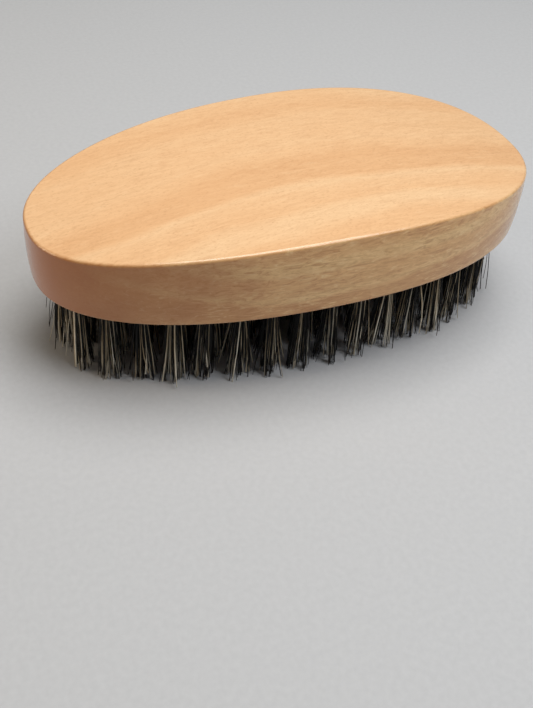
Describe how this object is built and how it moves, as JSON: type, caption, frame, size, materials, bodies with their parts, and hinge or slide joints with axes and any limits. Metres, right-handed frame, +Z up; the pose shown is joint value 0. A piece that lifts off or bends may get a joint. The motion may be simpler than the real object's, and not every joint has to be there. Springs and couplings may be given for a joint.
{
  "type": "palm brush",
  "caption": "Oval palm-held brush with a solid hardwood back, arched on top, and rings of natural bristle tufts for brushing cloth.",
  "frame": {"origin": "on the surface that the bristle tips rest on, under the middle of the wooden back", "axes": "+X along the length towards the wider end, +Y across, +Z up from the bristle tips to the wooden back"},
  "size_m": [0.105, 0.0548, 0.0339],
  "materials": {
    "lacquered_wood": "clear satin lacquer over pale fine-grained fruitwood",
    "boar_bristle": "natural boar bristle, black mixed with tan",
    "anchor_wire": "drawn flat wire, dull"
  },
  "bodies": {
    "root": {"anchors_centre_row": "anchor_wire", "anchors_ring_1_back_left": "anchor_wire", "anchors_ring_1_back_right": "anchor_wire", "anchors_ring_1_front_left": "anchor_wire", "anchors_ring_1_front_right": "anchor_wire", "anchors_ring_2_back_left": "anchor_wire", "anchors_ring_2_back_right": "anchor_wire", "anchors_ring_2_front_left": "anchor_wire", "anchors_ring_2_front_right": "anchor_wire", "anchors_ring_3_back_left": "anchor_wire", "anchors_ring_3_back_right": "anchor_wire", "anchors_ring_3_front_left": "anchor_wire", "anchors_ring_3_front_right": "anchor_wire", "anchors_ring_4_back_left": "anchor_wire", "anchors_ring_4_back_right": "anchor_wire", "anchors_ring_4_front_left": "anchor_wire", "anchors_ring_4_front_right": "anchor_wire", "tufts_centre_row": "boar_bristle", "tufts_ring_1_back_left": "boar_bristle", "tufts_ring_1_back_right": "boar_bristle", "tufts_ring_1_front_left": "boar_bristle", "tufts_ring_1_front_right": "boar_bristle", "tufts_ring_2_back_left": "boar_bristle", "tufts_ring_2_back_right": "boar_bristle", "tufts_ring_2_front_left": "boar_bristle", "tufts_ring_2_front_right": "boar_bristle", "tufts_ring_3_back_left": "boar_bristle", "tufts_ring_3_back_right": "boar_bristle", "tufts_ring_3_front_left": "boar_bristle", "tufts_ring_3_front_right": "boar_bristle", "tufts_ring_4_back_left": "boar_bristle", "tufts_ring_4_back_right": "boar_bristle", "tufts_ring_4_front_left": "boar_bristle", "tufts_ring_4_front_right": "boar_bristle", "wooden_back": "lacquered_wood"}
  },
  "joints": []
}
